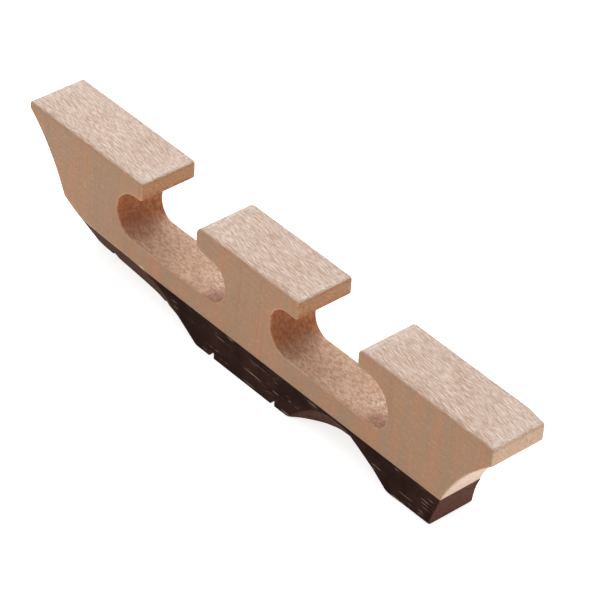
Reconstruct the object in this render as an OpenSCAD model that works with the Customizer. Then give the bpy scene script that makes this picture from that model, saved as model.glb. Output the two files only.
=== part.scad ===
// Six-string banjo bridge, compensated: a three-footed maple body with an
// ebony crown glued along its string side. It is drawn standing on the
// crown with its feet up. X runs from the low string to the high string,
// Y from the neck side (front) to the tail side, Z from crown to feet.

/* [Overall] */
// Length over the outer feet
bridge_length = 76.2; // [64:0.1:92]
// Height from the playing edge to the soles of the feet
bridge_height = 15.9; // [13:0.1:20]
// Thickness of the feet, front to back
foot_thickness = 7.7; // [6.8:0.1:9.5]
// Thickness at the playing edge, front to back, where the crown isn't cut back
crown_thickness = 6.6; // [5.4:0.1:8]
// Radius of the hollow that runs along the back, from the toes to the edge
back_hollow_radius = 17.7; // [14:0.1:40]

/* [Feet and arches] */
// Length of each outer foot along the bridge
outer_foot_length = 20.1; // [16:0.1:24]
// Length of the centre foot along the bridge
centre_foot_length = 16.4; // [13:0.1:20]
// Thickness of a toe where an arch runs in under its foot
toe_thickness = 2.4; // [1.5:0.05:3]
// How far each arch runs in under the feet beside it
arch_undercut = 4.4; // [2:0.1:5]
// Wood left between the arch floor and the glue joint
spine_height = 2.85; // [2:0.05:4]
// Rounding of the toe ends that face the low string, inside the arches
nose_round = 0.9; // [0.1:0.05:1]

/* [Ends] */
// Radius of the hollow at each end of the body
end_hollow_radius = 24; // [15:1:40]
// Thickness of the toe over the hollow at the low end
low_end_toe = 0.9; // [0.6:0.05:3]
// Thickness of the toe over the hollow at the high end
high_end_toe = 2.2; // [0.6:0.05:3]
// How far the joint stops short of the outer foot at the low end
low_end_inset = 7.1; // [5:0.05:9]
// How far the joint stops short of the outer foot at the high end
high_end_inset = 6.6; // [5:0.05:9]

/* [Crown] */
// Height of the ebony crown
crown_height = 4.6; // [3.4:0.1:5.8]
// How far each crown end leans in by the playing edge
crown_rake = 1.5; // [0:0.1:2.5]
// Thickness of the glue film in the joint
glue_thickness = 0.08; // [0.05:0.01:0.2]

/* [Strings] */
// Number of strings
string_count = 6; // [4:1:8]
// Distance between the outer string notches
string_spread = 51.5; // [42:0.1:62]
// Depth of each notch in the playing edge
notch_depth = 1; // [0.6:0.05:1.6]
// Width of the notch for the thickest string
low_notch_width = 1.2; // [0.9:0.05:1.5]
// Width of the notch for the thinnest string
high_notch_width = 0.35; // [0.25:0.05:0.6]

/* [Compensation] */
// Setback of the playing edge under the lowest string
low_setback = 3.1; // [2:0.05:3.6]
// Setback at the deepest point of the high bay, near the second string
high_bay_setback = 3.3; // [2:0.05:3.8]
// Setback of the playing edge under the highest string
high_setback = 0.4; // [0.1:0.05:1]

/* [Hidden] */
$fn = 96;
over = 1;

front = -foot_thickness / 2;
crown_back = front + crown_thickness;
half_length = bridge_length / 2;
low_joint = -half_length + low_end_inset;
high_joint = half_length - high_end_inset;
joint_z = crown_height + glue_thickness;
toe_z = bridge_height - toe_thickness;
floor_z = joint_z + spine_height;

arch_height = toe_z - floor_z;
arch_near = centre_foot_length / 2 - arch_undercut;
arch_far = half_length - outer_foot_length + arch_undercut;
// The arch ends are rounder under the toes than they are at the floor
toe_round = 0.49 * arch_height;
floor_round = 0.41 * arch_height;

string_pitch = string_spread / (string_count - 1);

// Places along the crown where its front changes, low end first. Each row is
// [distance from the middle, setback at the playing edge, crease height].
// Over the low strings the crease is above the joint, so the cut takes maple too
pitch = string_spread / 5;
STATIONS = [
    [-half_length, low_setback * 1.20, crown_height * 2.05],
    [-2.77 * pitch, low_setback * 1.03, crown_height * 1.15],
    [-2.50 * pitch, low_setback, crown_height * 1.11],
    [-1.95 * pitch, low_setback * 0.90, crown_height * 1.08],
    [-1.70 * pitch, low_setback * 0.83, crown_height * 1.03],
    [-1.48 * pitch, low_setback * 0.70, crown_height * 0.93],
    [-1.27 * pitch, low_setback * 0.56, crown_height * 0.73],
    [-0.75 * pitch, 0, 0],
    [0.74 * pitch, 0, 0],
    [0.84 * pitch, high_bay_setback * 0.33, crown_height * 0.24],
    [0.96 * pitch, high_bay_setback * 0.60, crown_height * 0.51],
    [1.08 * pitch, high_bay_setback * 0.82, crown_height * 0.72],
    [1.23 * pitch, high_bay_setback * 0.98, crown_height * 0.89],
    [1.40 * pitch, high_bay_setback, crown_height * 0.96],
    [1.63 * pitch, high_bay_setback * 0.88, crown_height * 0.94],
    [1.88 * pitch, high_bay_setback * 0.62, crown_height * 0.66],
    [2.08 * pitch, high_bay_setback * 0.40, crown_height * 0.42],
    [2.29 * pitch, high_setback, high_setback],
    [half_length, high_setback, high_setback * 2]
];

// A point across the crown: how far in from the front face, how high
function across(setback, height) = [front + setback, height];

// Draws a shape laid out in X and Z, and gives it all the depth needed
module along_y() {
    rotate([90, 0, 0])
        linear_extrude(foot_thickness + 2 * over, center = true) children();
}

// Draws a shape laid out in Y and Z, and runs it the whole length
module along_x() {
    rotate([90, 0, 90])
        linear_extrude(bridge_length + 2 * over, center = true) children();
}

// The circle that hollows one end, from its toe in to the joint. It is laid
// out for the high end, with the joint and the toe's thickness given
module end_hollow(joint_x, end_toe) {
    toe_tip = [half_length, bridge_height - end_toe];
    joint_end = [joint_x, joint_z];
    chord = toe_tip - joint_end;
    away = [chord.y, -chord.x] / norm(chord);
    reach = sqrt(end_hollow_radius ^ 2 - (norm(chord) / 2) ^ 2);
    translate((toe_tip + joint_end) / 2 + away * reach)
        circle(end_hollow_radius, $fn = 180);
}

// What is filed off a toe end at x, pointing to the low side, to round it
module nose(x) {
    r = min(nose_round, 0.45 * toe_thickness);
    difference() {
        translate([x - over, toe_z - over])
            square([over + r, toe_thickness + 2 * over]);
        for (z = [toe_z + r, bridge_height - r])
            translate([x + r, z]) circle(r, $fn = 48);
        translate([x, toe_z + r]) square([2 * r, toe_thickness - 2 * r]);
    }
}

// One arch, with the neck that opens it between two feet
module arch() {
    for (x = [arch_near + toe_round, arch_far - toe_round])
        translate([x, toe_z - toe_round]) circle(toe_round);
    for (x = [arch_near + floor_round, arch_far - floor_round])
        translate([x, floor_z + floor_round]) circle(floor_round);
    translate([arch_near + toe_round, floor_z])
        square([arch_far - arch_near - 2 * toe_round, arch_height]);
    translate([arch_near + floor_round, floor_z])
        square([arch_far - arch_near - 2 * floor_round, arch_height / 2]);
    translate([arch_near, floor_z + floor_round])
        square([arch_far - arch_near, arch_height - toe_round - floor_round]);
    translate([centre_foot_length / 2, toe_z - over])
        square([half_length - outer_foot_length - centre_foot_length / 2,
                toe_thickness + 2 * over]);
}

module body_outline() {
    difference() {
        translate([-half_length, joint_z])
            square([bridge_length, bridge_height - joint_z]);
        end_hollow(high_joint, high_end_toe);
        mirror([1, 0]) end_hollow(-low_joint, low_end_toe);
        for (side = [0, 1]) mirror([side, 0]) arch();
        nose(-centre_foot_length / 2);
        nose(half_length - outer_foot_length);
    }
}

// The whole bridge seen from its end: upright in front, and hollowed at the
// back on an arc that starts under the toes and ends at the playing edge
module bridge_section() {
    toe_back = [-front, toe_z];
    edge_back = [crown_back, 0];
    chord = toe_back - edge_back;
    away = [chord.y, -chord.x] / norm(chord);
    reach = sqrt(back_hollow_radius ^ 2 - (norm(chord) / 2) ^ 2);
    difference() {
        polygon([
            [front, 0], edge_back, toe_back,
            [-front, bridge_height], [front, bridge_height]
        ]);
        translate((toe_back + edge_back) / 2 + away * reach)
            circle(back_hollow_radius, $fn = 180);
    }
}

// The wood cut away in front so that each string has its own length.
// Each station gives one triangle, and the cut joins them in a row.
module compensation_cut() {
    skin = 0.05;
    function corners(station) = [
        across(-2 * over, -2 * over),
        across(1.3 * station[1], -0.3 * station[2] - skin),
        across(-0.3 * station[1] - skin, 1.3 * station[2])
    ];
    last = len(STATIONS) - 1;
    points = [for (station = STATIONS) for (corner = corners(station))
        [station[0], corner.x, corner.y]];
    sides = [for (i = [0 : last - 1]) for (j = [0 : 2]) let (k = (j + 1) % 3)
        each [[3 * i + j, 3 * i + 3 + j, 3 * i + 3 + k],
              [3 * i + j, 3 * i + 3 + k, 3 * i + k]]];
    polyhedron(points, concat([[0, 1, 2]], sides,
        [[3 * last + 2, 3 * last + 1, 3 * last]]));
}

// A slot with a round floor, right across the crown
module notch(width) {
    rotate([90, 0, 0])
        linear_extrude(2 * foot_thickness, center = true) {
            translate([0, notch_depth - width / 2]) circle(width / 2, $fn = 24);
            translate([-width / 2, -over])
                square([width, notch_depth - width / 2 + over]);
        }
}

module maple_body() {
    color("burlywood") difference() {
        intersection() {
            along_y() body_outline();
            along_x() bridge_section();
        }
        compensation_cut();
    }
}

module glue_film() {
    color("saddlebrown") difference() {
        intersection() {
            translate([low_joint, front, crown_height])
                cube([high_joint - low_joint, foot_thickness, glue_thickness]);
            along_x() bridge_section();
        }
        compensation_cut();
    }
}

module ebony_crown() {
    color([0.17, 0.11, 0.09]) difference() {
        intersection() {
            along_y() polygon([
                [low_joint + crown_rake, 0], [high_joint - crown_rake, 0],
                [high_joint, crown_height], [low_joint, crown_height]
            ]);
            along_x() bridge_section();
        }
        compensation_cut();
        for (i = [0 : string_count - 1])
            translate([(i - (string_count - 1) / 2) * string_pitch, 0, 0])
                notch(low_notch_width
                    + (high_notch_width - low_notch_width) * i / (string_count - 1));
    }
}

maple_body();
glue_film();
ebony_crown();
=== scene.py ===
import math
import bmesh
import bpy
from mathutils import Matrix, Vector, noise
from mathutils.geometry import delaunay_2d_cdt


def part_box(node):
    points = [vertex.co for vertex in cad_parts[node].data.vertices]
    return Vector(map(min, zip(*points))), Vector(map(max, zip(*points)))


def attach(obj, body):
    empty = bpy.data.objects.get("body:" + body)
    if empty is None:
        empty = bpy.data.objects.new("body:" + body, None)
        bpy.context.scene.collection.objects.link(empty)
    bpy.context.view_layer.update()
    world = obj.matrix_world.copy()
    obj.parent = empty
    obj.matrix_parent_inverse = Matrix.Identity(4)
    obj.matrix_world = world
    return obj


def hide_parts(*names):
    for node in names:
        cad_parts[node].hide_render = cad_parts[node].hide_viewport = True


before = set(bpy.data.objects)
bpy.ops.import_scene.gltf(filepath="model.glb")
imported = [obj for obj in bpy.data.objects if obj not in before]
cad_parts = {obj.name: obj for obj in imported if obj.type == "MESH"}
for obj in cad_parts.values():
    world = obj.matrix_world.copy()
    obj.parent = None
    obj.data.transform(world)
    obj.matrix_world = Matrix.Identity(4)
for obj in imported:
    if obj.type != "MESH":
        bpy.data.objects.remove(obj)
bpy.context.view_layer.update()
mm = 0.001
print("frame loaded:", ", ".join(sorted(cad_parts)))

# places taken from the frame; feet up, playing edge at z = 0
bodyLow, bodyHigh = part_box("maple_body")
crownLow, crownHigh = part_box("ebony_crown")
soleZ = bodyHigh.z
jointZ = bodyLow.z
crownTop = crownHigh.z
lowJoint, highJoint = crownLow.x, crownHigh.x
frontY, backY = bodyLow.y, bodyHigh.y
crownBack = crownHigh.y


def smooth(low, high, value):
    t = min(max((value - low) / (high - low), 0.0), 1.0)
    return t * t * (3 - 2 * t)


def mix(a, b, t):
    return a + (b - a) * t


# a polygon whose corners are rounded: each entry is (point, radius)
def filletPath(corners, arcSteps):
    path = []
    count = len(corners)
    for i, (point, radius) in enumerate(corners):
        if radius <= 0:
            path.append(point)
            continue
        before = (corners[i - 1][0] - point).normalized()
        after = (corners[(i + 1) % count][0] - point).normalized()
        halfAngle = before.angle(after) / 2
        centre = point + (before + after).normalized() * radius / math.sin(halfAngle)
        start = point + before * radius / math.tan(halfAngle) - centre
        sweep = start.angle_signed(point + after * radius / math.tan(halfAngle) - centre)
        for step in range(arcSteps + 1):
            turn = Matrix.Rotation(-sweep * step / arcSteps, 2)
            path.append(centre + turn @ start)
    return path


# splits the long stretches of a closed path
def evenPath(path, spacing):
    fine = []
    for i, point in enumerate(path):
        after = path[(i + 1) % len(path)]
        pieces = max(1, round((after - point).length / spacing))
        fine += [point.lerp(after, k / pieces) for k in range(pieces)]
    return fine


def insideBy(polygon, point, margin):
    inside = False
    nearest = 1.0
    for i, b in enumerate(polygon):
        a = polygon[i - 1]
        if (a.y > point.y) != (b.y > point.y):
            if point.x < (b.x - a.x) * (point.y - a.y) / (b.y - a.y) + a.x:
                inside = not inside
        if margin:
            along = b - a
            t = min(max((point - a).dot(along) / max(along.length_squared, 1e-18), 0), 1)
            nearest = min(nearest, (a + along * t - point).length)
    return inside and nearest > margin


def innerPoints(polygon, spacing, margin):
    found = []
    lowX, highX = min(p.x for p in polygon), max(p.x for p in polygon)
    lowY, highY = min(p.y for p in polygon), max(p.y for p in polygon)
    row = 0
    y = lowY + spacing / 2
    while y < highY:
        x = lowX + spacing * (0.5 if row % 2 else 1.0)
        while x < highX:
            if insideBy(polygon, Vector((x, y)), margin):
                found.append(Vector((x, y)))
            x += spacing
        y += spacing * 0.866
        row += 1
    return found


def finishPiece(bm, name, material, node, sharpDegrees):
    bmesh.ops.recalc_face_normals(bm, faces=bm.faces)
    mesh = bpy.data.meshes.new(name)
    bm.to_mesh(mesh)
    bm.free()
    obj = bpy.data.objects.new(name, mesh)
    bpy.context.collection.objects.link(obj)
    mesh.materials.append(material)
    mesh.shade_smooth()
    mesh.set_sharp_from_angle(angle=math.radians(sharpDegrees))
    weighted = obj.modifiers.new("even shading", "WEIGHTED_NORMAL")
    weighted.keep_sharp = True
    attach(obj, "root")
    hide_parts(node)
    print(name, "built:", len(mesh.vertices), "points")


# faces between rows of points that each go once round
def joinRows(bm, rows):
    size = len(rows[0])
    for first, second in zip(rows, rows[1:]):
        for i in range(size):
            j = (i + 1) % size
            bm.faces.new((first[i], first[j], second[j], second[i]))


backLine = {
    "toe": 2.4 * mm,                # upright behind the toes
    "hollow": 17.7 * mm,            # radius of the arc from there to the playing edge
    "soften": 0.06 * mm,            # where the two meet
}


def backAt(z):
    toeBack, edgeBack = Vector((backY, soleZ - backLine["toe"])), Vector((crownBack, 0))
    chord = toeBack - edgeBack
    outward = Vector((chord.y, -chord.x)).normalized()
    reach = math.sqrt(backLine["hollow"] ** 2 - (chord.length / 2) ** 2)
    centre = (toeBack + edgeBack) / 2 + outward * reach
    hollowed = centre.x - math.sqrt(backLine["hollow"] ** 2 - (z - centre.y) ** 2)
    gap = hollowed - backY
    return hollowed - (gap + math.sqrt(gap ** 2 + backLine["soften"] ** 2)) / 2


crown = {
    "pitch": 10.3 * mm,             # between strings
    "stations": [                   # place in pitches, setback mm, crease height mm
        (-3.7, 3.72, 9.43), (-2.77, 3.19, 5.29), (-2.5, 3.1, 5.11), (-1.95, 2.79, 4.97),
        (-1.7, 2.57, 4.74), (-1.48, 2.17, 4.28), (-1.27, 1.74, 3.36), (-0.75, 0, 0),
        (0.74, 0, 0), (0.84, 1.09, 1.1), (0.96, 1.98, 2.35), (1.08, 2.71, 3.31),
        (1.23, 3.23, 4.09), (1.4, 3.3, 4.42), (1.63, 2.9, 4.32), (1.88, 2.05, 3.04),
        (2.08, 1.32, 1.93), (2.29, 0.4, 0.4), (3.7, 0.4, 0.8),
    ],
    "soften": 0.35 * mm,            # rounding of the filed corners along the edge
    "notchDepth": 1.0 * mm,
    "notchWide": 1.2 * mm,          # thickest string
    "notchNarrow": 0.35 * mm,       # thinnest string
    "notchCount": 6,
    "rake": 1.5 * mm,               # lean of the end faces
    "rakeStart": 4 * mm,
    "edgeEase": 0.14 * mm,
    "backEase": 0.25 * mm,
    "leastSetback": 0.02 * mm,
    "leastCrease": 0.15 * mm,
    "overNotch": 0.03 * mm,         # the crease stays this far above a notch's floor
    "clear": 0.05 * mm,             # beside a notch, and below the crease and the joint
    "endEase": 1.2 * mm,            # the ends' rounding fades in over this, below the joint
    "endLift": 1.0 * mm,            # the corners' lift fades out over this, above the edge
    "filedFrom": (0.1 * mm, 0.6 * mm),  # setbacks between which the filed facets begin to show: their painted reflection and roughness
    "spacing": 0.3 * mm,
    "notchSteps": 12,
    "endSteps": 4,
    "sharpDegrees": 30,
}


def stationAt(x):
    rows = crown["stations"]
    place = x / crown["pitch"]
    for first, second in zip(rows, rows[1:]):
        if place <= second[0]:
            t = max((place - first[0]) / (second[0] - first[0]), 0.0)
            return mix(first[1], second[1], t) * mm, mix(first[2], second[2], t) * mm
    return rows[-1][1] * mm, rows[-1][2] * mm


# setback at the playing edge and crease height above it, corners softened
def cutAt(x):
    reach = crown["soften"]
    total = [0.0, 0.0]
    for offset, weight in ((-reach, 0.25), (0, 0.5), (reach, 0.25)):
        setback, crease = stationAt(x + offset)
        total[0] += setback * weight
        total[1] += crease * weight
    return total


# how far the cut has come in from the front at x and z
def cutDepth(x, z):
    setback, crease = cutAt(x)
    return setback * min(max(1 - z / crease, 0), 1) if crease > 1e-9 else 0.0


maple = {
    "outerFoot": 20.1 * mm,
    "centreFoot": 16.4 * mm,
    "toe": 2.4 * mm,
    "spine": 2.85 * mm,
    "lowToe": 0.9 * mm,             # over the end hollows
    "highToe": 2.2 * mm,
    "endHollow": 24 * mm,
    "hollowFrom": 30 * mm,          # the end hollows lie beyond this
    "cornerRound": 0.4 * mm,
    # each arch: wall places, then the rounds under the toes and at the floor,
    # then the rounded toe end on its high side: length, drop, top and bottom rounds
    "arches": [
        {"walls": (-22.15, -3.65), "underToe": (3.0, 2.2), "floor": (2.7, 2.5),
         "nose": (0.5, 0.75, 1.0, 1.1)},
        {"walls": (4.0, 22.6), "underToe": (2.5, 3.0), "floor": (2.8, 2.1),
         "nose": (0.35, 0.0, 0.75, 0.7)},
    ],
    "edgeEase": 0.25 * mm,          # hand-sanded edges, front and back
    "easeFrom": (0.05 * mm, 0.9 * mm),  # the edges turn sharp down at the joint
    "easeWander": 0.3,              # how unevenly they were sanded
    "wanderSizes": (2.2 * mm, 0.8 * mm),
    "edgeSole": 0.8,                # how pale a sole still is at its edge
    "soleBand": (0.25 * mm, 0.02 * mm),     # the paleness sets in this far below the sole
    "hollowLight": 0.7,              # painted light: the end hollows, lit from the floor below, are partly as pale as the soles
    "archEnd": 6 * mm,              # the sawn walls reach this far under the outer feet
    "wallLean": 0.7 * mm,           # the saw wandered: near walls at the back
    "leanReach": (4 * mm, 1 * mm),
    "cornerTrim": 0.4 * mm,         # sanded off the back of the high foot's tip
    "trimFrom": 35.2 * mm,
    "frayReach": 2.2 * mm,
    # painted shade and painted glints fade over these distances: from an arch wall, then from the
    # front
    "farShade": ((4.4 * mm, 2.2 * mm), (3.2 * mm, 0.8 * mm)),
    "nearShade": ((4.6 * mm, 1.8 * mm), (6 * mm, 1.5 * mm)),
    "nearShadeShare": 0.7,
    "glintArea": ((7.5 * mm, 4 * mm), (1 * mm, 3 * mm)),
    "spacing": 0.45 * mm,           # along the outline
    "faceSpacing": 0.9 * mm,        # inside the front and back faces
    "faceMargin": 0.4 * mm,
    "creaseSpacing": 0.4 * mm,
    "creaseEnd": -10 * mm,
    "hollowSteps": 20,
    "arcSteps": 9,
    "easeSteps": 4,
    "wallRows": 9,
    "sharpDegrees": 38,
}


def endHollowPoints(tip, foot, radius, count):
    chord = foot - tip
    outward = Vector((-chord.y, chord.x)).normalized()
    if outward.x * tip.x < 0:
        outward.negate()
    centre = (tip + foot) / 2 + outward * math.sqrt(radius ** 2 - (chord.length / 2) ** 2)
    start = tip - centre
    sweep = start.angle_signed(foot - centre)
    return [centre + Matrix.Rotation(-sweep * k / count, 2) @ start for k in range(count + 1)]


# the body's front view, clockwise from the low end's sole
def bodyOutline():
    lowEnd, highEnd = bodyLow.x, bodyHigh.x
    toeZ = soleZ - maple["toe"]
    floorZ = jointZ + maple["spine"]
    corner = maple["cornerRound"]
    toeEnds = (lowEnd + maple["outerFoot"], maple["centreFoot"] / 2)
    nextToes = (-maple["centreFoot"] / 2, highEnd - maple["outerFoot"])
    corners = [(Vector((lowEnd, soleZ)), corner * 0.6)]
    for arch, toeEnd, nextToe in zip(maple["arches"], toeEnds, nextToes):
        near, far = [wall * mm for wall in arch["walls"]]
        out, drop, topRound, underRound = [size * mm for size in arch["nose"]]
        corners += [
            (Vector((toeEnd, soleZ)), corner), (Vector((toeEnd, toeZ)), corner),
            (Vector((near, toeZ)), arch["underToe"][0] * mm),
            (Vector((near, floorZ)), arch["floor"][0] * mm),
            (Vector((far, floorZ)), arch["floor"][1] * mm),
            (Vector((far, toeZ - drop * 1.5)), arch["underToe"][1] * mm),
            (Vector((nextToe - out, toeZ - drop * 0.5)), underRound),
            (Vector((nextToe - out, soleZ)), topRound),
        ]
    corners.append((Vector((highEnd, soleZ)), corner))
    for tip, foot in ((Vector((highEnd, soleZ - maple["highToe"])), highJoint),
                      (Vector((lowEnd, soleZ - maple["lowToe"])), lowJoint)):
        hollow = endHollowPoints(tip, Vector((foot, jointZ)), maple["endHollow"],
                                 maple["hollowSteps"])
        hollow = [(hollow[0], corner * 0.8)] + [(point, 0) for point in hollow[2:]]
        corners += hollow if tip.x > 0 else reversed(hollow)
    return evenPath(filletPath(corners, maple["arcSteps"]), maple["spacing"])


def buildBody(material):
    outline = bodyOutline()
    count = len(outline)
    inward = []
    for i, point in enumerate(outline):
        along = (outline[(i + 1) % count] - outline[i - 1]).normalized()
        inward.append(Vector((along.y, -along.x)))

    bm = bmesh.new()
    names = ("easedEdge", "sole", "sawn", "frayed", "outerEnd", "paintedShade", "glintArea")
    marks = {name: bm.verts.layers.float.new(name) for name in names}
    ease, isSole, isSawn = [], [], []
    slow, quick = maple["wanderSizes"]
    soleFrom, soleFull = maple["soleBand"]
    for point in outline:
        wander = noise.noise(Vector((point.x, 0, point.y)) / slow)
        wander += 0.5 * noise.noise(Vector((point.x, 9, point.y)) / quick)
        amount = maple["edgeEase"] * (1 + maple["easeWander"] * wander)
        ease.append(amount * smooth(*maple["easeFrom"], point.y - jointZ))
        inHollow = abs(point.x) < bodyHigh.x - 0.1 * mm and abs(point.x) > maple["hollowFrom"]
        # the end hollows take part of the soles' paleness as painted light from below
        isSole.append(max(smooth(soleZ - soleFrom, soleZ - soleFull, point.y),
                          maple["hollowLight"] * (inHollow and point.y > jointZ)))
        inArch = abs(point.x) < bodyHigh.x - maple["outerFoot"] + maple["archEnd"]
        isSawn.append(float(inArch and jointZ < point.y < soleZ - maple["toe"] * 0.7))

    def mark(vert, i, rounded, wall, paleness=1):
        vert[marks["easedEdge"]] = rounded if ease[i] > 0 else 0
        vert[marks["sole"]] = isSole[i] * wall ** 3 * paleness
        vert[marks["sawn"]] = isSawn[i] * wall
        vert[marks["outerEnd"]] = float(abs(outline[i].x) > maple["hollowFrom"]) * wall

    def ring(side, angle):
        row = []
        for i, (point, n, amount) in enumerate(zip(outline, inward, ease)):
            inset = amount * (1 - math.cos(angle))
            depth = max(amount, 0.02 * mm) * (1 - math.sin(angle))
            flat = point + n * inset
            y = frontY + depth if side < 0 else backAt(point.y) - depth
            vert = bm.verts.new((flat.x, y, flat.y))
            mark(vert, i, math.sin(2 * angle), math.cos(angle), maple["edgeSole"])
            row.append(vert)
        return row

    # the saw lifted the fibres at the ends and the back edges of the feet
    footEnds = (bodyLow.x + maple["outerFoot"], -maple["centreFoot"] / 2,
                maple["centreFoot"] / 2, bodyHigh.x - maple["outerFoot"], bodyLow.x, bodyHigh.x)

    def frayAt(point):
        toEnd = min(abs(point.x - end) for end in footEnds)
        return max(smooth(maple["frayReach"], 0, toEnd),
                   smooth(maple["frayReach"] * 0.8, 0, backY - point.y) * 0.9)

    steps = maple["easeSteps"]
    frontRings = [ring(-1, math.pi / 2 * (1 - k / steps)) for k in range(steps + 1)]
    backRings = [ring(1, math.pi / 2 * k / steps) for k in range(steps + 1)]
    rings = frontRings[:]
    for k in range(1, maple["wallRows"]):
        row = []
        for i, (a, b) in enumerate(zip(frontRings[-1], backRings[0])):
            vert = bm.verts.new(a.co.lerp(b.co, k / maple["wallRows"]))
            mark(vert, i, 0, 1)
            row.append(vert)
        rings.append(row)
    rings += backRings
    joinRows(bm, rings)

    # front and back faces: an even triangulation of the outline, with the
    # crease of the low end's cut drawn in
    crease = []
    x = bodyLow.x
    while x < maple["creaseEnd"]:
        height = cutAt(x)[1]
        if jointZ + 0.1 * mm < height:
            crease.append(Vector((x, height)))
        x += maple["creaseSpacing"]
    for side, rim in ((-1, rings[0]), (1, rings[-1])):
        flat = [Vector((v.co.x, v.co.z)) for v in rim]
        points = flat + innerPoints(flat, maple["faceSpacing"], maple["faceMargin"])
        seams = []
        if side < 0:
            inside = [c for c in crease if insideBy(flat, c, 0.08 * mm)]
            seams = [(len(points) + k, len(points) + k + 1) for k in range(len(inside) - 1)]
            points += inside
        rimEdges = [(k, (k + 1) % count) for k in range(count)]
        made = delaunay_2d_cdt(points, rimEdges + seams, [], 1, 1e-7, True)
        verts = []
        for k, point in enumerate(made[0]):
            source = made[3][k]
            if source and source[0] < count:
                verts.append(rim[source[0]])
            else:
                y = frontY if side < 0 else backAt(point.y)
                verts.append(bm.verts.new((point.x, y, point.y)))
        for triangle in made[2]:
            mid = sum((made[0][k] for k in triangle), Vector((0, 0))) / 3
            if insideBy(flat, mid, 0):
                bm.faces.new([verts[k] for k in triangle])

    # painted shade darkens the arch ends, most in the corners under the toes near the front;
    # painted glints sit near the far walls
    def shadeAndGlints(co):
        def fade(name, toWall):
            wallSpan, frontSpan = maple[name]
            return smooth(*wallSpan, toWall) * smooth(*frontSpan, co.y - frontY)

        paintedShade = glintArea = 0.0
        for arch in maple["arches"]:
            near, far = [wall * mm for wall in arch["walls"]]
            if near - 0.1 * mm < co.x < far + 0.1 * mm:
                paintedShade = max(fade("farShade", far - co.x),
                            fade("nearShade", co.x - near) * maple["nearShadeShare"])
                glintArea = fade("glintArea", far - co.x)
        return paintedShade, glintArea

    # the marks that depend on place, the leaning walls, the trimmed tip, and
    # the low end's front corner, which goes with the crown's cut
    for vert in bm.verts:
        deep = (vert.co.y - frontY) / (backY - frontY)
        vert[marks["paintedShade"]], vert[marks["glintArea"]] = shadeAndGlints(vert.co)
        for arch in maple["arches"]:
            toNear = abs(vert.co.x - arch["walls"][0] * mm)
            lean = maple["wallLean"] * smooth(*maple["leanReach"], toNear) * deep ** 2
            belowToe = smooth(soleZ - maple["toe"] + 0.1 * mm, soleZ - maple["toe"] - 1 * mm,
                              vert.co.z)
            vert.co.x += lean * belowToe * smooth(jointZ + 1 * mm, jointZ + 3 * mm, vert.co.z)
        vert.co.y -= maple["cornerTrim"] * smooth(maple["trimFrom"], bodyHigh.x, vert.co.x) * deep
        if cutAt(vert.co.x)[1] > jointZ:
            cut = frontY + cutDepth(vert.co.x, vert.co.z)
            vert.co.y = max(vert.co.y, cut)
        onSole = smooth(soleZ - 0.3 * mm, soleZ - 0.1 * mm, vert.co.z)
        vert[marks["frayed"]] = frayAt(vert.co) * onSole
    bmesh.ops.remove_doubles(bm, verts=bm.verts, dist=1e-7)
    finishPiece(bm, "mapleBody", material, "maple_body", maple["sharpDegrees"])


# the middle and the half width of each notch
def notchPlaces():
    last = crown["notchCount"] - 1
    return [((i - last / 2) * crown["pitch"],
             mix(crown["notchWide"], crown["notchNarrow"], i / last) / 2)
            for i in range(crown["notchCount"])]


def notchFloor(x):
    for middle, half in notchPlaces():
        away = abs(x - middle)
        if away < half:
            dome = math.sqrt(max(half ** 2 - away ** 2, 0))
            return crown["notchDepth"] - half + dome
    return 0.0


# where the crown is sliced: evenly, and more finely at the notches
def crownPlaces():
    places = []
    steps = round((highJoint - lowJoint) / crown["spacing"])
    ease = crown["backEase"]
    justInside, justOutside = 0.9999, 1.0001
    for middle, half in notchPlaces():
        for k in range(crown["notchSteps"] + 1):
            turn = math.pi * k / crown["notchSteps"]
            places.append(middle - half * math.cos(turn) * justInside)
        places += [middle - half * justOutside, middle + half * justOutside]
    for k in range(steps + 1):
        x = mix(lowJoint + ease, highJoint - ease, k / steps)
        if all(abs(x - middle) >= half + crown["clear"] for middle, half in notchPlaces()):
            places.append(x)
    return sorted(places)


# one slice across the crown, in Y and Z, always with the same number of points
def crownSlice(x):
    setback, crease = cutAt(x)
    setback = max(setback, crown["leastSetback"])
    crease = max(crease, crown["leastCrease"])
    floor = notchFloor(x)
    if crease <= floor + crown["overNotch"]:
        crease = floor + crown["overNotch"]
        setback = crown["leastSetback"] / 2

    def facet(z):
        return frontY + setback * min(max(1 - z / crease, 0), 1)

    bend = min(crease, crownTop - crown["clear"])
    corners = [
        (Vector((facet(crownTop), crownTop)), 0), (Vector((facet(bend), bend)), 0),
        (Vector((facet(floor), floor)), crown["edgeEase"]),
        (Vector((backAt(floor), floor)), crown["backEase"]),
        (Vector((backAt(crownTop), crownTop)), 0),
    ]
    fixed = []
    for i, (point, radius) in enumerate(corners):
        room = min((corners[i - 1][0] - point).length,
                   (corners[(i + 1) % 5][0] - point).length) * 0.4
        fixed.append((point, min(radius, room)))
    path = filletPath(fixed, 4)
    # path: front top, crease, 5 round the playing edge, 5 round the back, top back;
    # each span goes from one of its points to another, in so many pieces
    spans = [(0, 1, 4), (1, 2, 5), (6, 7, 7), (11, 12, 4), (12, 0, 5)]
    points = []
    for first, second, pieces in spans:
        straight = [path[first].lerp(path[second], k / pieces) for k in range(pieces)]
        if first == 11:
            straight = [Vector((backAt(point.y), point.y)) for point in straight]
        points += [(point, 0) for point in straight]
        if second in (2, 7):
            points += [(path[second + k], math.sin(math.pi * k / 4)) for k in range(4)]
    return [(point.x, point.y, eased) for point, eased in points]


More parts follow.
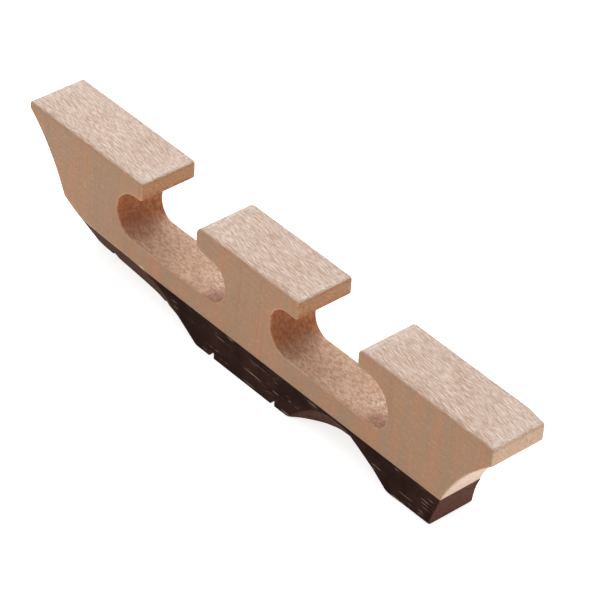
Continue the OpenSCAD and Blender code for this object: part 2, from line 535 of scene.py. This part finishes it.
def buildCrown(material):
    bm = bmesh.new()
    edgeMark = bm.verts.layers.float.new("easedEdge")
    filedMark = bm.verts.layers.float.new("filed")
    ease = crown["backEase"]
    ends = []
    for k in range(crown["endSteps"]):
        turn = math.pi / 2 * (k + 1) / crown["endSteps"]
        ends.append((ease * math.sin(turn), ease * (1 - math.cos(turn))))
    slices = [(lowJoint + ease - out, inset) for out, inset in reversed(ends)]
    slices += [(x, 0) for x in crownPlaces()]
    slices += [(highJoint - ease + out, inset) for out, inset in ends]
    middle = (frontY + crownBack) / 2
    rows = []
    for x, inset in slices:
        setback, crease = cutAt(x)
        end = lowJoint if x < 0 else highJoint
        lean = smooth(abs(end) - crown["rakeStart"], abs(end), abs(x))
        row = []
        for y, z, eased in crownSlice(x):
            onFacet = y < middle and z < crease - crown["clear"]
            filed = smooth(*crown["filedFrom"], setback) if onFacet else 0
            pull = inset * smooth(crownTop, crownTop - crown["endEase"], z)
            y -= math.copysign(min(pull, abs(y - middle)), y - middle)
            z += pull * smooth(crown["endLift"], 0, z)
            shift = crown["rake"] * lean * (1 - z / crownTop)
            vert = bm.verts.new((x - math.copysign(shift, x), y, z))
            vert[edgeMark] = max(eased, math.sin(math.pi * inset / ease))
            vert[filedMark] = filed
            row.append(vert)
        rows.append(row)
    joinRows(bm, rows)
    size = len(rows[0])
    for row in (rows[0], rows[-1]):
        centre = sum((v.co for v in row), Vector()) / size
        hub = bm.verts.new(centre)
        inner = [bm.verts.new(v.co.lerp(centre, 0.5)) for v in row]
        for i in range(size):
            j = (i + 1) % size
            bm.faces.new((row[i], row[j], inner[j], inner[i]))
            bm.faces.new((inner[i], inner[j], hub))
    finishPiece(bm, "ebonyCrown", material, "ebony_crown", crown["sharpDegrees"])


glue = {
    "spacing": 0.5 * mm,
    "recess": 0.015 * mm,           # wiped back from the faces
    "ripple": 0.02 * mm,
    "rippleLength": 1.3 * mm,
    "acrossRows": 8,
    "sharpDegrees": 30,
}


def buildGlue(material):
    bm = bmesh.new()
    edgeMark = bm.verts.layers.float.new("easedEdge")
    steps = round((highJoint - lowJoint) / glue["spacing"])
    rows = []
    for k in range(steps + 1):
        x = mix(lowJoint + glue["recess"], highJoint - glue["recess"], k / steps)
        ripple = glue["ripple"] * noise.noise(Vector((x / glue["rippleLength"], 4, 0)))
        front = frontY + cutDepth(x, (crownTop + jointZ) / 2) + glue["recess"] + ripple
        row = []
        for z, ys in ((crownTop, range(glue["acrossRows"] + 1)),
                      (jointZ, reversed(range(glue["acrossRows"] + 1)))):
            back = backAt(z) - glue["recess"] - ripple
            for step in ys:
                y = mix(front, back, step / glue["acrossRows"])
                vert = bm.verts.new((x, y, z))
                vert[edgeMark] = float(step in (0, glue["acrossRows"]))
                row.append(vert)
        rows.append(row)
    joinRows(bm, rows)
    size = len(rows[0])
    for row in (rows[0], rows[-1]):
        for i in range(glue["acrossRows"]):
            bm.faces.new((row[i], row[i + 1], row[size - 2 - i], row[size - 1 - i]))
    finishPiece(bm, "glueLine", material, "glue_film", glue["sharpDegrees"])


# node helpers: a value given as a socket is linked, any other is set
def put(tree, socket, value):
    if isinstance(value, bpy.types.NodeSocket):
        tree.links.new(value, socket)
    else:
        socket.default_value = value


def newMaterial(name):
    material = bpy.data.materials.new(name)
    material.use_nodes = True
    tree = material.node_tree
    tree.nodes.clear()
    shader = tree.nodes.new("ShaderNodeBsdfPrincipled")
    output = tree.nodes.new("ShaderNodeOutputMaterial")
    tree.links.new(shader.outputs[0], output.inputs[0])
    return material, tree, shader


def arithmetic(tree, operation, a, b=0.0, clamp=False):
    node = tree.nodes.new("ShaderNodeMath")
    node.operation = operation
    node.use_clamp = clamp
    put(tree, node.inputs[0], a)
    put(tree, node.inputs[1], b)
    return node.outputs[0]


def vectorMath(tree, operation, a, b):
    node = tree.nodes.new("ShaderNodeVectorMath")
    node.operation = operation
    put(tree, node.inputs[0], a)
    put(tree, node.inputs["Scale" if operation == "SCALE" else 1], b)
    return node.outputs[0]


def ramp(tree, value, low, high, start=0.0, end=1.0):
    node = tree.nodes.new("ShaderNodeMapRange")
    node.interpolation_type = "SMOOTHSTEP"
    for name, entry in (("Value", value), ("From Min", low), ("From Max", high),
                        ("To Min", start), ("To Max", end)):
        put(tree, node.inputs[name], entry)
    return node.outputs[0]


def noiseAt(tree, vector, detail, roughness, scale=1.0):
    node = tree.nodes.new("ShaderNodeTexNoise")
    put(tree, node.inputs["Vector"], vector)
    put(tree, node.inputs["Scale"], scale)
    put(tree, node.inputs["Detail"], detail)
    put(tree, node.inputs["Roughness"], roughness)
    return node


def noiseRamp(tree, vector, detail, roughness, low, high):
    return ramp(tree, noiseAt(tree, vector, detail, roughness).outputs[0], low, high)


def mixColour(tree, factor, a, b):
    node = tree.nodes.new("ShaderNodeMix")
    node.data_type = "RGBA"
    put(tree, node.inputs[0], factor)
    for socket, value in ((node.inputs[6], a), (node.inputs[7], b)):
        put(tree, socket, (*value, 1) if isinstance(value, tuple) else value)
    return node.outputs[2]


def attribute(tree, name):
    node = tree.nodes.new("ShaderNodeAttribute")
    node.attribute_name = name
    return node.outputs["Fac"]


# object coordinates in millimetres, turned so that X follows the grain
def grainPlace(tree, turn):
    place = tree.nodes.new("ShaderNodeTexCoord")
    mapping = tree.nodes.new("ShaderNodeMapping")
    tree.links.new(place.outputs["Object"], mapping.inputs["Vector"])
    mapping.inputs["Rotation"].default_value = [math.radians(angle) for angle in turn]
    mapping.inputs["Scale"].default_value = (1 / mm, 1 / mm, 1 / mm)
    return mapping.outputs[0]


def newGroup(name, inputs, outputs):
    tree = bpy.data.node_groups.new(name, "ShaderNodeTree")
    for title, kind, value in inputs:
        socket = tree.interface.new_socket(name=title, in_out="INPUT", socket_type=kind)
        if value is not None:
            socket.default_value = value
    for title in outputs:
        tree.interface.new_socket(name=title, in_out="OUTPUT", socket_type="NodeSocketFloat")
    entry = tree.nodes.new("NodeGroupInput")
    leave = tree.nodes.new("NodeGroupOutput")
    return tree, entry.outputs, leave.inputs


def useGroup(tree, group, **values):
    node = tree.nodes.new("ShaderNodeGroup")
    node.node_tree = group
    for title, value in values.items():
        put(tree, node.inputs[title.replace("_", " ")], value)
    return node.outputs


floatKind, vectorKind = "NodeSocketFloat", "NodeSocketVector"

# each layer of the grain: the noise's detail and roughness, then the two
# levels between which the layer fades in
grainLayers = {
    "Fibre": (2.0, 0.6, 0.36, 0.64), "Coarse": (2.0, 0.5, 0.32, 0.68),
    "Fleck": (1.0, 0.4, 0.62, 0.76), "Pore": (1.0, 0.4, 0.61, 0.74),
    "Band": (4.0, 0.62, 0.36, 0.64), "Thread": (2.0, 0.55, 0.54, 0.72),
}
bandLength = (24.0, 20.0)           # millimetres, in Y and Z
lineTilt = (0.0, 0.42, 0.91)        # across the growth lines

# grain along X: fine fibres, pale flecks, dark pores, broad bands of figure
# across the grain, and growth lines along it
woodGrain, given, made = newGroup(
    "woodGrain",
    [("Position", vectorKind, None), ("Fibre Length", floatKind, 2.0),
     ("Fibre Width", floatKind, 0.18), ("Wander", floatKind, 0.6),
     ("Band Width", floatKind, 2.2), ("Line Gap", floatKind, 1.5)],
    ["Fibre", "Coarse", "Fleck", "Pore", "Band", "Thread", "Line"])
drift = noiseAt(woodGrain, given["Position"], 1.0, 0.5, 0.11).outputs["Color"]
drift = vectorMath(woodGrain, "SUBTRACT", drift, (0.5, 0.5, 0.5))
drift = vectorMath(woodGrain, "SCALE", drift, given["Wander"])
settled = vectorMath(woodGrain, "ADD", given["Position"], drift)
stretch = woodGrain.nodes.new("ShaderNodeCombineXYZ")
put(woodGrain, stretch.inputs[0], given["Fibre Length"])
put(woodGrain, stretch.inputs[1], given["Fibre Width"])
put(woodGrain, stretch.inputs[2], given["Fibre Width"])
drawn = vectorMath(woodGrain, "DIVIDE", settled, stretch.outputs[0])
across = woodGrain.nodes.new("ShaderNodeCombineXYZ")
put(woodGrain, across.inputs[0], given["Band Width"])
across.inputs[1].default_value, across.inputs[2].default_value = bandLength
bandPlace = vectorMath(woodGrain, "DIVIDE", settled, across.outputs[0])
fleckPlace = vectorMath(woodGrain, "ADD", drawn, (17.0, 31.0, 5.0))
for name, layerPlace in (
        ("Fibre", drawn),
        ("Coarse", vectorMath(woodGrain, "MULTIPLY", drawn, (0.55, 0.34, 0.34))),
        ("Fleck", vectorMath(woodGrain, "MULTIPLY", fleckPlace, (1.3, 0.8, 0.8))),
        ("Pore", vectorMath(woodGrain, "ADD", drawn, (41.0, 7.0, 23.0))),
        ("Band", bandPlace),
        ("Thread", vectorMath(woodGrain, "MULTIPLY", bandPlace, (6.5, 2.2, 2.2)))):
    put(woodGrain, made[name], noiseRamp(woodGrain, layerPlace, *grainLayers[name]))
tilted = woodGrain.nodes.new("ShaderNodeVectorMath")
tilted.operation = "DOT_PRODUCT"
put(woodGrain, tilted.inputs[0], settled)
tilted.inputs[1].default_value = lineTilt
turns = arithmetic(woodGrain, "DIVIDE", tilted.outputs["Value"], given["Line Gap"])
wobble = noiseAt(woodGrain, settled, 1.0, 0.5, 0.14).outputs[0]
turns = arithmetic(woodGrain, "ADD", turns, wobble)
wave = arithmetic(woodGrain, "SINE", arithmetic(woodGrain, "MULTIPLY", turns, 2 * math.pi))
put(woodGrain, made["Line"], ramp(woodGrain, wave, 0.7, 1.0))

# what hands and sandpaper leave: rubbed edges, smudges and fine scratches; on the maple the
# rubbed edges also carry a painted highlight
handWork, given, made = newGroup(
    "handWork",
    [("Position", vectorKind, None), ("Edge", floatKind, 0.0),
     ("Smudge Size", floatKind, 5.0), ("Scratch Size", floatKind, 0.1)],
    ["Rubbed", "Smudge", "Scratch"])
patchy = noiseAt(handWork, given["Position"], 3.0, 0.65, 1.3).outputs[0]
worn = arithmetic(handWork, "MULTIPLY", given["Edge"], ramp(handWork, patchy, 0.32, 0.62))
put(handWork, made["Rubbed"], worn)
smudgePlace = vectorMath(handWork, "SCALE", given["Position"],
                         arithmetic(handWork, "DIVIDE", 1.0, given["Smudge Size"]))
put(handWork, made["Smudge"], noiseRamp(handWork, smudgePlace, 3.0, 0.6, 0.35, 0.65))
scratchPlace = vectorMath(handWork, "SCALE", given["Position"],
                          arithmetic(handWork, "DIVIDE", 1.0, given["Scratch Size"]))
scratchPlace = vectorMath(handWork, "MULTIPLY", scratchPlace, (1.0, 0.1, 0.7))
put(handWork, made["Scratch"], noiseRamp(handWork, scratchPlace, 1.0, 0.5, 0.35, 0.65))

mapleFinish = {
    "turn": (0, -3, 8),             # degrees the grain runs out by
    "warmBand": (0.360, 0.166, 0.075), "greyBand": (0.288, 0.171, 0.090),
    "facePale": (0.328, 0.185, 0.094), "thread": (0.34, 0.118, 0.040),
    # the soles' pale colour is partly their sanded tone and partly painted sheen
    "soleDark": (0.46, 0.285, 0.185), "solePaleAndSheen": (0.81, 0.635, 0.535),
    "sawnDark": (0.46, 0.242, 0.135), "sawnPale": (0.70, 0.465, 0.320),
    "wallDark": (0.275, 0.076, 0.015), "wallPale": (0.52, 0.190, 0.050),
    "toeDark": (0.32, 0.130, 0.048), "toePale": (0.50, 0.26, 0.115),
    # painted light: the outer ends, open to the light, are paler than the toe ends inside the
    # arches
    "outerLitDark": (0.43, 0.262, 0.155), "outerLitPale": (0.62, 0.420, 0.285),
    # the first colour in this row, for the eased edges, is partly wear and partly a painted
    # highlight
    # the second colour in this row is painted shade for the arch corners under the toes
    "rubbed": (0.56, 0.330, 0.190), "paintedShade": (0.230, 0.072, 0.027),
    # the near-white serves pale flecks and fuzz on the soles, and painted glints on the sawn arch
    # surfaces
    "pore": (0.13, 0.045, 0.018), "fleck": (0.88, 0.80, 0.74), "line": (0.25, 0.115, 0.055),
    # how strongly each effect shows on each kind of surface
    "face": {"smudge": 0.25, "coarse": 0.15, "thread": 0.5, "line": 0.3, "pore": 0.5,
             "fleck": 0.25},
    # on the sawn surfaces the last two shares set painted glints
    "sawn": {"fibre": 0.4, "pore": 0.75, "fleck": 0.35, "glintShare": 0.8},
    "ends": {"wallPore": 0.5, "toePore": 0.3, "all": 0.92},
    "soles": {"fibre": 0.85, "smudge": 0.15, "pore": 0.35, "fleck": 0.4, "fuzz": 0.45},
    "rubbedShare": 0.4,
    "roughness": (0.62, 0.5),       # between and on the fibres
    "glintGloss": 0.25,
    "specular": 0.4,
    "bump": {"strength": 0.5, "distance": 0.03 * mm, "pore": 0.8, "scratch": 0.4, "fuzz": 0.8},
}


def mapleMaterial():
    look = mapleFinish
    material, tree, shader = newMaterial("handSandedMaple")
    place = grainPlace(tree, look["turn"])
    grain = useGroup(tree, woodGrain, Position=place, Fibre_Length=1.3, Fibre_Width=0.085,
                     Wander=0.7, Band_Width=1.6, Line_Gap=0.85)
    carved = useGroup(tree, woodGrain, Position=place, Fibre_Length=0.36, Fibre_Width=0.11,
                      Wander=0.5, Band_Width=3.0, Line_Gap=1.2)
    # on a surface cut across the grain only the ends of the fibres show
    cutEnds = useGroup(tree, woodGrain, Position=place, Fibre_Length=0.5, Fibre_Width=0.15,
                       Wander=0.5, Band_Width=3.0, Line_Gap=1.2)
    hands = useGroup(tree, handWork, Position=place, Edge=attribute(tree, "easedEdge"),
                     Smudge_Size=4.0, Scratch_Size=0.12)
    sole, sawn = attribute(tree, "sole"), attribute(tree, "sawn")
    frayed, outerEnd = attribute(tree, "frayed"), attribute(tree, "outerEnd")
    paintedShade, glintArea = attribute(tree, "paintedShade"), attribute(tree, "glintArea")
    direction = tree.nodes.new("ShaderNodeTexCoord")
    parts = tree.nodes.new("ShaderNodeSeparateXYZ")
    tree.links.new(direction.outputs["Normal"], parts.inputs[0])
    endGrain = ramp(tree, arithmetic(tree, "ABSOLUTE", parts.outputs[0]), 0.15, 0.85)

    def share(mask, amount):
        return arithmetic(tree, "MULTIPLY", mask, amount)

    def lay(under, mask, amount, colourName):
        return mixColour(tree, share(mask, amount), under, look[colourName])

    amounts = look["face"]
    face = mixColour(tree, grain["Band"], look["greyBand"], look["warmBand"])
    face = lay(face, hands["Smudge"], amounts["smudge"], "facePale")
    face = lay(face, grain["Coarse"], amounts["coarse"], "facePale")
    face = lay(face, grain["Thread"], amounts["thread"], "thread")
    face = lay(face, share(grain["Line"], hands["Smudge"]), amounts["line"], "line")
    face = lay(face, grain["Pore"], amounts["pore"], "line")
    face = lay(face, grain["Fleck"], amounts["fleck"], "sawnPale")

    amounts = look["sawn"]
    wood = mixColour(tree, carved["Coarse"], look["sawnDark"], look["sawnPale"])
    wood = lay(wood, carved["Fibre"], amounts["fibre"], "sawnPale")
    wood = lay(wood, carved["Pore"], amounts["pore"], "line")
    # painted glints: near-white specks on the sawn arch surfaces, thickest near the far walls
    glintSpecks = share(ramp(tree, carved["Fibre"], 0.7, 1.0), glintArea)
    glints = arithmetic(tree, "ADD", share(carved["Fleck"], amounts["fleck"]),
                        share(glintSpecks, amounts["glintShare"]), True)
    wood = mixColour(tree, glints, wood, look["fleck"])
    face = mixColour(tree, sawn, face, wood)

    amounts = look["ends"]
    walls = mixColour(tree, cutEnds["Coarse"], look["wallDark"], look["wallPale"])
    walls = lay(walls, cutEnds["Pore"], amounts["wallPore"], "pore")
    toes = mixColour(tree, cutEnds["Fibre"], look["toeDark"], look["toePale"])
    toes = lay(toes, cutEnds["Pore"], amounts["toePore"], "line")
    # painted light: the outer end faces and hollows are paler than the toe ends in the arches
    outer = mixColour(tree, cutEnds["Fibre"], look["outerLitDark"], look["outerLitPale"])
    toes = mixColour(tree, outerEnd, toes, outer)
    ends = mixColour(tree, sawn, toes, walls)
    face = mixColour(tree, share(endGrain, amounts["all"]), face, ends)
    # painted shade: dark red-brown in the arch corners under the toes, on the sawn surfaces
    paintedShadeMask = share(paintedShade, ramp(tree, carved["Fibre"], 0, 1, 0.5, 0.9))
    face = lay(face, paintedShadeMask, sawn, "paintedShade")

    # the soles: paler sanded wood carrying painted sheen, with flecks and fuzz
    amounts = look["soles"]
    streaks = arithmetic(tree, "ADD", share(grain["Fibre"], amounts["fibre"]),
                         share(hands["Smudge"], amounts["smudge"]))
    pale = mixColour(tree, streaks, look["soleDark"], look["solePaleAndSheen"])
    pale = lay(pale, grain["Pore"], amounts["pore"], "soleDark")
    fuzz = share(frayed, ramp(tree, hands["Scratch"], 0.2, 0.8))
    whiteness = arithmetic(tree, "ADD", share(grain["Fleck"], amounts["fleck"]),
                           share(fuzz, amounts["fuzz"]), True)
    pale = mixColour(tree, whiteness, pale, look["fleck"])
    colour = mixColour(tree, sole, face, pale)
    # eased edges: partly rubbed wear, partly a painted highlight along the rounding
    colour = lay(colour, hands["Rubbed"], look["rubbedShare"], "rubbed")
    put(tree, shader.inputs["Base Color"], colour)

    rough = ramp(tree, grain["Fibre"], 0.0, 1.0, *look["roughness"])
    rough = arithmetic(tree, "SUBTRACT", rough, share(share(glints, sawn), look["glintGloss"]))
    put(tree, shader.inputs["Roughness"], rough)
    shader.inputs["Specular IOR Level"].default_value = look["specular"]

    relief = look["bump"]
    height = arithmetic(tree, "SUBTRACT", grain["Fibre"], share(grain["Pore"], relief["pore"]))
    rougher = arithmetic(tree, "SUBTRACT", carved["Fibre"], carved["Pore"])
    height = arithmetic(tree, "ADD", height, share(rougher, sawn))
    height = arithmetic(tree, "ADD", height, share(hands["Scratch"], relief["scratch"]))
    height = arithmetic(tree, "ADD", height, share(fuzz, relief["fuzz"]))
    bump = tree.nodes.new("ShaderNodeBump")
    bump.inputs["Strength"].default_value = relief["strength"]
    bump.inputs["Distance"].default_value = relief["distance"]
    put(tree, bump.inputs["Height"], height)
    put(tree, shader.inputs["Normal"], bump.outputs[0])
    return material


ebonyFinish = {
    "turn": (0, -1, 1),
    "dark": (0.0165, 0.0060, 0.0038), "brown": (0.030, 0.0120, 0.0080),
    # the filed facets' lighter browns are painted reflection of the pale floor below
    "filed": (0.080, 0.038, 0.024), "filedDark": (0.056, 0.0250, 0.0160),
    "endGrain": (0.115, 0.045, 0.029), "endDark": (0.052, 0.0185, 0.0120),
    "streak": (0.40, 0.30, 0.24), "rubbed": (0.085, 0.045, 0.034),
    "streakFrom": (0.45, 0.85), "streakShare": 0.95,
    "filedHides": 0.9,              # how much of a streak filing takes away
    "rubbedShare": 0.4,
    "roughness": (0.7, 0.55), "filedRoughness": 0.25,
    "specular": 0.02,
    "bump": {"strength": 0.35, "distance": 0.02 * mm, "scratch": 0.5},
}


def ebonyMaterial():
    look = ebonyFinish
    material, tree, shader = newMaterial("sandedEbony")
    place = grainPlace(tree, look["turn"])
    grain = useGroup(tree, woodGrain, Position=place, Fibre_Length=7.5, Fibre_Width=0.08,
                     Wander=0.3, Band_Width=4.0, Line_Gap=2.1)
    specks = useGroup(tree, woodGrain, Position=place, Fibre_Length=0.45, Fibre_Width=0.16,
                      Wander=0.4, Band_Width=1.0, Line_Gap=2.1)
    hands = useGroup(tree, handWork, Position=place, Edge=attribute(tree, "easedEdge"),
                     Smudge_Size=3.0, Scratch_Size=0.09)
    direction = tree.nodes.new("ShaderNodeTexCoord")
    parts = tree.nodes.new("ShaderNodeSeparateXYZ")
    tree.links.new(direction.outputs["Normal"], parts.inputs[0])
    endGrain = ramp(tree, arithmetic(tree, "ABSOLUTE", parts.outputs[0]), 0.45, 0.85)
    filed = attribute(tree, "filed")

    colour = mixColour(tree, hands["Smudge"], look["dark"], look["brown"])
    # painted reflection: the filed facets face down towards the pale floor and are lighter brown
    facetReflection = mixColour(tree, specks["Coarse"], look["filedDark"], look["filed"])
    colour = mixColour(tree, filed, colour, facetReflection)
    mottled = mixColour(tree, specks["Fibre"], look["endDark"], look["endGrain"])
    colour = mixColour(tree, endGrain, colour, mottled)
    # the pale pores show where the face was planed, hardly where it was filed
    planed = arithmetic(tree, "SUBTRACT", 1.0,
                        arithmetic(tree, "MULTIPLY", filed, look["filedHides"]))
    upright = ramp(tree, arithmetic(tree, "ABSOLUTE", parts.outputs[1]), 0.6, 0.9)
    planed = arithmetic(tree, "MULTIPLY", planed, upright)
    sparse = ramp(tree, hands["Smudge"], 0.15, 0.75)
    streaks = ramp(tree, grain["Fleck"], *look["streakFrom"], 0, look["streakShare"])
    streaks = arithmetic(tree, "MULTIPLY", arithmetic(tree, "MULTIPLY", streaks, planed), sparse)
    colour = mixColour(tree, streaks, colour, look["streak"])
    rubbed = arithmetic(tree, "MULTIPLY", hands["Rubbed"], look["rubbedShare"])
    colour = mixColour(tree, rubbed, colour, look["rubbed"])
    put(tree, shader.inputs["Base Color"], colour)
    rough = ramp(tree, grain["Fibre"], 0, 1, *look["roughness"])
    roughened = arithmetic(tree, "MULTIPLY", filed, look["filedRoughness"])
    put(tree, shader.inputs["Roughness"], arithmetic(tree, "ADD", rough, roughened, True))
    shader.inputs["Specular IOR Level"].default_value = look["specular"]

    relief = look["bump"]
    bump = tree.nodes.new("ShaderNodeBump")
    bump.inputs["Strength"].default_value = relief["strength"]
    bump.inputs["Distance"].default_value = relief["distance"]
    height = arithmetic(tree, "MULTIPLY", hands["Scratch"], relief["scratch"])
    put(tree, bump.inputs["Height"], arithmetic(tree, "SUBTRACT", height, grain["Fleck"]))
    put(tree, shader.inputs["Normal"], bump.outputs[0])
    return material


glueFinish = {
    "dark": (0.010, 0.005, 0.004), "amber": (0.07, 0.03, 0.014),
    "rubbedShare": 0.4,
    "roughness": (0.3, 0.55),
}


def glueMaterial():
    look = glueFinish
    material, tree, shader = newMaterial("setGlue")
    hands = useGroup(tree, handWork, Position=grainPlace(tree, (0, 0, 0)),
                     Edge=attribute(tree, "easedEdge"), Smudge_Size=1.5, Scratch_Size=0.1)
    colour = mixColour(tree, hands["Smudge"], look["dark"], look["amber"])
    rubbed = arithmetic(tree, "MULTIPLY", hands["Rubbed"], look["rubbedShare"])
    put(tree, shader.inputs["Base Color"], mixColour(tree, rubbed, colour, look["dark"]))
    put(tree, shader.inputs["Roughness"],
        ramp(tree, hands["Scratch"], 0, 1, *look["roughness"]))
    return material


buildBody(mapleMaterial())
buildCrown(ebonyMaterial())
buildGlue(glueMaterial())

studio = {
    "floorSize": 1.5, "floorPaint": (0.93, 0.93, 0.93),
    "floorGlow": 0.7,               # lit from below, as on a light table
    "air": (1.0, 1.0, 1.0), "airStrength": 0.72,
    "lamps": [                      # name, place in metres, size, watts
        ("keyLamp", (-0.44, 0.42, 0.52), 0.5, 3.0),
    ],
}
half = studio["floorSize"]
floorMesh = bpy.data.meshes.new("floor")
floorMesh.from_pydata([(-half, -half, 0), (half, -half, 0), (half, half, 0), (-half, half, 0)],
                      [], [(0, 1, 2, 3)])
floor = bpy.data.objects.new("floor", floorMesh)
bpy.context.collection.objects.link(floor)
floorLook, floorTree, floorShader = newMaterial("paleFloor")
floorShader.inputs["Base Color"].default_value = (*studio["floorPaint"], 1)
floorShader.inputs["Roughness"].default_value = 0.9
floorShader.inputs["Specular IOR Level"].default_value = 0.1
floorShader.inputs["Emission Color"].default_value = (1, 1, 1, 1)
floorShader.inputs["Emission Strength"].default_value = studio["floorGlow"]
floorMesh.materials.append(floorLook)

for name, place, size, power in studio["lamps"]:
    lampData = bpy.data.lights.new(name, "AREA")
    lampData.shape = "DISK"
    lampData.size = size
    lampData.energy = power
    lamp = bpy.data.objects.new(name, lampData)
    lamp.location = place
    lamp.rotation_mode = "QUATERNION"
    lamp.rotation_quaternion = (Vector((0, 0, 0.01)) - Vector(place)).to_track_quat("-Z", "Y")
    bpy.context.collection.objects.link(lamp)
world = bpy.data.worlds.new("studioAir")
bpy.context.scene.world = world
world.use_nodes = True
background = world.node_tree.nodes["Background"]
background.inputs["Color"].default_value = (*studio["air"], 1)
background.inputs["Strength"].default_value = studio["airStrength"]
bpy.context.scene.view_settings.view_transform = "Standard"
print("studio lit")

cameraSetup = {
    "azimuth": 46.54, "elevation": 37.92, "roll": 4.03,   # degrees
    "distance": 375.06 * mm,
    "aim": (1.456 * mm, 2.731 * mm, 9.055 * mm),
    "lens": 207.4,
}
cameraData = bpy.data.cameras.new("camera")
cameraData.lens = cameraSetup["lens"]
cameraData.sensor_width = 36
cameraData.clip_start, cameraData.clip_end = 0.01, 10
camera = bpy.data.objects.new("camera", cameraData)
bpy.context.collection.objects.link(camera)
azimuth = math.radians(cameraSetup["azimuth"])
elevation = math.radians(cameraSetup["elevation"])
outward = Vector((math.sin(azimuth) * math.cos(elevation),
                  -math.cos(azimuth) * math.cos(elevation), math.sin(elevation)))
camera.location = Vector(cameraSetup["aim"]) + outward * cameraSetup["distance"]
facing = (-outward).to_track_quat("-Z", "Y").to_matrix()
tilt = Matrix.Rotation(math.radians(cameraSetup["roll"]), 3, "Z")
camera.rotation_mode = "QUATERNION"
camera.rotation_quaternion = (facing @ tilt).to_quaternion()
bpy.context.scene.camera = camera
